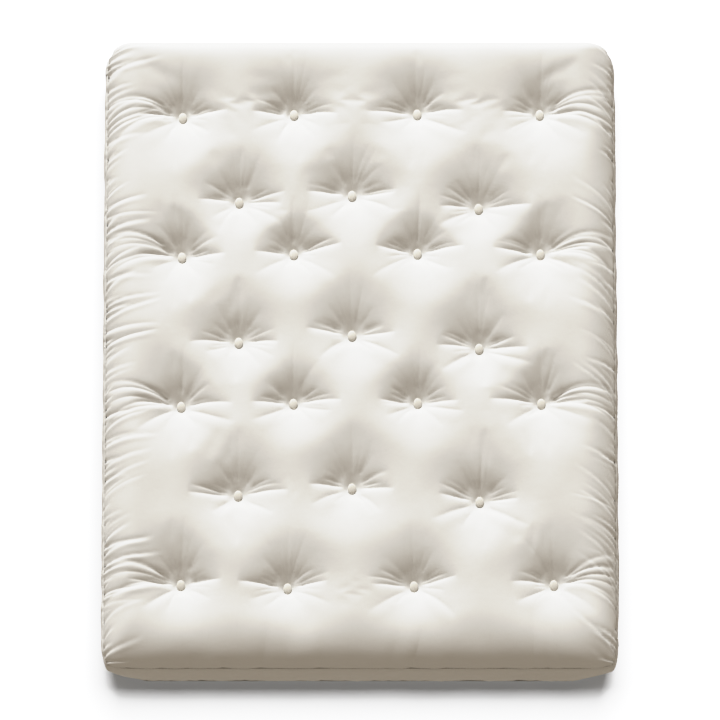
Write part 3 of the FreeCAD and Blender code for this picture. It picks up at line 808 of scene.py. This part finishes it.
def twill_group():
    """Twill: warp and weft threads that cross on a slant, with uneven yarn."""
    group, given, made = new_group(
        "twill weave", {"Vector": (VECTOR, None), "Threads": (FLOAT, 900.0),
                        "Crumple": (FLOAT, 0.4)},
        {"Height": FLOAT})
    cell = group.nodes.new("ShaderNodeVectorMath")
    cell.operation = "SCALE"
    group.links.new(given.outputs["Vector"], cell.inputs[0])
    group.links.new(given.outputs["Threads"], cell.inputs["Scale"])
    split = group.nodes.new("ShaderNodeSeparateXYZ")
    group.links.new(cell.outputs[0], split.inputs[0])
    x, y = split.outputs[0], split.outputs[1]
    warp = maths(group, "ABSOLUTE", maths(group, "SINE", maths(group, "MULTIPLY", x, math.pi)))
    weft = maths(group, "ABSOLUTE", maths(group, "SINE", maths(group, "MULTIPLY", y, math.pi)))
    slant = maths(group, "SINE", maths(group, "MULTIPLY", maths(group, "ADD", x, y),
                                       QUARTER))
    over = maths(group, "MULTIPLY_ADD", slant, 0.5, 0.5)
    under = maths(group, "SUBTRACT", 1.0, over)
    threads = maths(group, "ADD", maths(group, "MULTIPLY", warp, over),
                    maths(group, "MULTIPLY", weft, under))
    yarn = noise(group, cell.outputs[0], 0.35, 3.0, 0.6)
    height = maths(group, "MULTIPLY_ADD", threads, 0.7, maths(group, "MULTIPLY", yarn, 0.5))
    soft = noise(group, given.outputs["Vector"], 38.0, 4.0, 0.55)
    height = maths(group, "MULTIPLY_ADD", soft, given.outputs["Crumple"], height)
    group.links.new(height, made.inputs["Height"])
    return group


def mottle_group():
    """Natural cotton is not one colour: broad warmth, fine flecks and slubs."""
    group, given, made = new_group(
        "cotton mottle", {"Vector": (VECTOR, None), "Light": (COLOUR, (0.85, 0.84, 0.81, 1)),
                          "Dark": (COLOUR, (0.80, 0.77, 0.72, 1)), "Broad": (FLOAT, 6.0),
                          "Fine": (FLOAT, 500.0)},
        {"Colour": COLOUR, "Mask": FLOAT})
    broad = noise(group, given.outputs["Vector"], given.outputs["Broad"], 3.0)
    fine = noise(group, given.outputs["Vector"], given.outputs["Fine"], 2.0, 0.7)
    mask = maths(group, "MULTIPLY_ADD", fine, 0.45, maths(group, "MULTIPLY", broad, 0.55))
    spread = group.nodes.new("ShaderNodeMapRange")
    group.links.new(mask, spread.inputs["Value"])
    spread.inputs["From Min"].default_value = 0.35
    spread.inputs["From Max"].default_value = 0.65
    mix = group.nodes.new("ShaderNodeMix")
    mix.data_type = "RGBA"
    group.links.new(spread.outputs[0], mix.inputs["Factor"])
    group.links.new(given.outputs["Light"], mix.inputs["A"])
    group.links.new(given.outputs["Dark"], mix.inputs["B"])
    group.links.new(mix.outputs["Result"], made.inputs["Colour"])
    group.links.new(spread.outputs[0], made.inputs["Mask"])
    return group


TWILL, MOTTLE = twill_group(), mottle_group()


def cloth_material(name, light, dark, threads, bump, roughness=0.92, sheen=0.25,
                   use_uv=True, broad=6.0, fine=500.0, crumple=0.5):
    """Matt woven cotton: mottled colour, twill in the bump, a little sheen."""
    material = bpy.data.materials.new(name)
    material.use_nodes = True
    tree = material.node_tree
    shader = tree.nodes["Principled BSDF"]
    where = tree.nodes.new("ShaderNodeTexCoord")
    place = where.outputs["UV" if use_uv else "Object"]
    weave = tree.nodes.new("ShaderNodeGroup")
    weave.node_tree = TWILL
    weave.inputs["Threads"].default_value = threads
    weave.inputs["Crumple"].default_value = crumple
    tree.links.new(place, weave.inputs["Vector"])
    tone = tree.nodes.new("ShaderNodeGroup")
    tone.node_tree = MOTTLE
    tone.inputs["Light"].default_value = (*light, 1)
    tone.inputs["Dark"].default_value = (*dark, 1)
    tone.inputs["Broad"].default_value = broad
    tone.inputs["Fine"].default_value = fine
    tree.links.new(where.outputs["Object"], tone.inputs["Vector"])
    tree.links.new(tone.outputs["Colour"], shader.inputs["Base Color"])
    dent = tree.nodes.new("ShaderNodeBump")
    dent.inputs["Strength"].default_value = bump
    dent.inputs["Distance"].default_value = 0.0004
    tree.links.new(weave.outputs["Height"], dent.inputs["Height"])
    tree.links.new(dent.outputs["Normal"], shader.inputs["Normal"])
    rough = maths(tree, "MULTIPLY_ADD", tone.outputs["Mask"], 0.06, roughness - 0.03)
    tree.links.new(rough, shader.inputs["Roughness"])
    shader.inputs["Sheen Weight"].default_value = sheen
    shader.inputs["Sheen Roughness"].default_value = 0.5
    shader.inputs["Specular IOR Level"].default_value = 0.2
    return material


COVER = cloth_material("natural_cotton_twill", (0.86, 0.857, 0.845), (0.84, 0.832, 0.815), 900,
                       0.5, crumple=2.2)
BUTTON = cloth_material("button_cotton", (0.83, 0.81, 0.76), (0.78, 0.755, 0.70), 1100, 0.3,
                        use_uv=False)
BATTING = cloth_material("cotton_batting", (0.86, 0.83, 0.76), (0.74, 0.69, 0.60), 160, 0.9,
                         use_uv=False, broad=30, fine=220)
FOAM = cloth_material("foam", (0.88, 0.84, 0.66), (0.84, 0.79, 0.58), 700, 0.5, sheen=0.0,
                      use_uv=False, broad=12, fine=900)
FELT = cloth_material("wool_felt", (0.62, 0.58, 0.50), (0.50, 0.46, 0.39), 500, 0.6,
                      use_uv=False)
TWINE = cloth_material("tufting_twine", (0.80, 0.74, 0.60), (0.66, 0.60, 0.46), 1400, 0.8,
                       use_uv=False)
THREAD = cloth_material("seam_thread", (0.80, 0.76, 0.69), (0.70, 0.65, 0.57), 2500, 0.6,
                        use_uv=False)


def dress(piece, material):
    piece.data.materials.clear()
    piece.data.materials.append(material)


CASE = {
    top_panel: ("seat_top_panel", "back_top_panel"),
    bottom_panel: ("seat_bottom_panel", "back_bottom_panel"),
    boxing_head: ("seat_boxing_head", "back_boxing_head"),
    boxing_foot: ("seat_boxing_foot", "back_boxing_foot"),
    boxing_left: ("seat_boxing_side",),
    boxing_right: ("back_boxing_side",),
}
for piece, stood_for in CASE.items():
    dress(piece, COVER)
    if piece is boxing_left:
        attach(piece, "seat_half")
    elif piece is boxing_right:
        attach(piece, "back_half")
    else:
        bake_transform(piece)
    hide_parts(*stood_for)
for piece, seam in ((top_stitches, "top"), (low_stitches, "bottom")):
    dress(piece, THREAD)
    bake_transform(piece)
    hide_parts(f"seat_{seam}_seam_thread", f"back_{seam}_seam_thread")
for piece in buttons:
    dress(piece, BUTTON)
for piece, name in zip(layers, LAYERS):
    dress(piece, FOAM if name == "foam_core" else BATTING)
for side in ("seat", "back"):
    dress(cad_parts[f"{side}_felt_washers"], FELT)
    dress(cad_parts[f"{side}_tufting_twine"], TWINE)

# ------------------------------------------------------------------ floor, light and camera


def plain_material(name, colour):
    material = bpy.data.materials.new(name)
    material.use_nodes = True
    shader = material.node_tree.nodes["Principled BSDF"]
    shader.inputs["Base Color"].default_value = (*colour, 1)
    shader.inputs["Roughness"].default_value = 0.9
    return material


deselect()
bpy.ops.mesh.primitive_plane_add(size=40, location=(0, 0, -0.0005))
floor = bpy.context.object
floor.name = "studio_floor"
dress(floor, plain_material("floor_paint", (0.72, 0.81, 0.98)))
floor.visible_diffuse = False


def soft_light(name, place, target, width, height, power, colour):
    data = bpy.data.lights.new(name, "AREA")
    data.shape, data.size, data.size_y = "RECTANGLE", width, height
    data.energy, data.color = power, colour
    lamp = bpy.data.objects.new(name, data)
    bpy.context.scene.collection.objects.link(lamp)
    lamp.location = place
    aim = Vector(target) - Vector(place)
    lamp.rotation_euler = aim.to_track_quat("-Z", "Y").to_euler()
    return lamp


def light_only(lamp, piece, state):
    """Lets a lamp light only this piece, or everything but it."""
    group = bpy.data.collections.new(f"{lamp.name}_reach")
    group.objects.link(piece)
    lamp.light_linking.receiver_collection = group
    group.collection_objects[0].light_linking.link_state = state


key = soft_light("key_light", (-5.0, 24.0, 15.5), (0, 0.1, 0.1), 11.0, 8.0, 9300,
                 (0.915, 0.96, 1.0))
light_only(key, floor, "EXCLUDE")
floor_light = soft_light("floor_light", (0.2, 3.75, 7.0), (0, 0, 0), 8.0, 10.5, 2500,
                         (1.0, 0.90, 0.76))
light_only(floor_light, floor, "INCLUDE")

world = bpy.data.worlds.new("studio")
bpy.context.scene.world = world
world.use_nodes = True
world.node_tree.nodes["Background"].inputs["Color"].default_value = (1.0, 0.87, 0.70, 1)
world.node_tree.nodes["Background"].inputs["Strength"].default_value = 0.36

camera_data = bpy.data.cameras.new("camera")
camera_data.lens = 669.5
camera_data.clip_end = 200
camera = bpy.data.objects.new("camera", camera_data)
bpy.context.scene.collection.objects.link(camera)
ELEVATION, DISTANCE = math.radians(67), 40.0
aim = Vector((0, -0.0065, 0.1))
camera.location = aim + Vector((0, -math.cos(ELEVATION), math.sin(ELEVATION))) * DISTANCE
camera.rotation_euler = (aim - camera.location).to_track_quat("-Z", "Y").to_euler()
bpy.context.scene.camera = camera

# A studio camera's soft shoulder keeps the lit cloth from burning out.
view = bpy.context.scene.view_settings
view.view_transform = "Standard"
view.use_curve_mapping = True
WHITE = 1.5
view.curve_mapping.white_level = (WHITE, WHITE, WHITE)
for light, shown in ((0.30, 0.275), (0.60, 0.615), (0.80, 0.835), (1.0, 0.915), (1.2, 0.955)):
    view.curve_mapping.curves[3].points.new(light / WHITE, shown)
view.curve_mapping.update()
